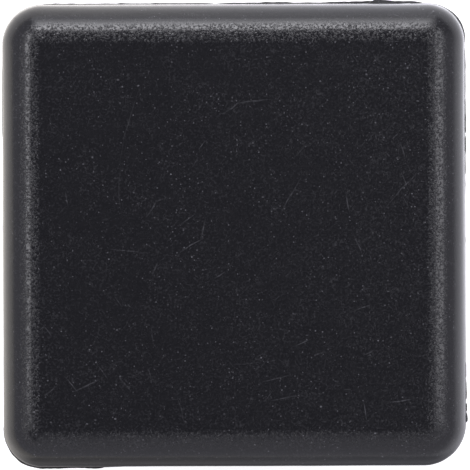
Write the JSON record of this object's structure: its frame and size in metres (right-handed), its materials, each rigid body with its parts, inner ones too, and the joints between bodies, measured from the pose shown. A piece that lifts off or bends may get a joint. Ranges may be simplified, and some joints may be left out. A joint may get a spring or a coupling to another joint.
{
  "type": "square tube end cap",
  "caption": "Square ribbed end cap in black plastic: a rounded head closes the end of a square tube, and a hollow stem with flexible fins grips the bore.",
  "frame": {"origin": "centre of the head's underside, the flat face that seats on the end of the tube", "axes": "+Z out of the tube through the middle of the head, -Z into the tube along the stem, +X and +Y square to the head's sides, with the gate mark on the +Y side near +X"},
  "size_m": [0.0253, 0.0254, 0.018],
  "materials": {
    "black_polyethylene": "black polyethylene with a fine moulded grain and a soft sheen, lightly scuffed and dusty"
  },
  "bodies": {
    "root": {"end_cap": "black_polyethylene"}
  },
  "joints": []
}
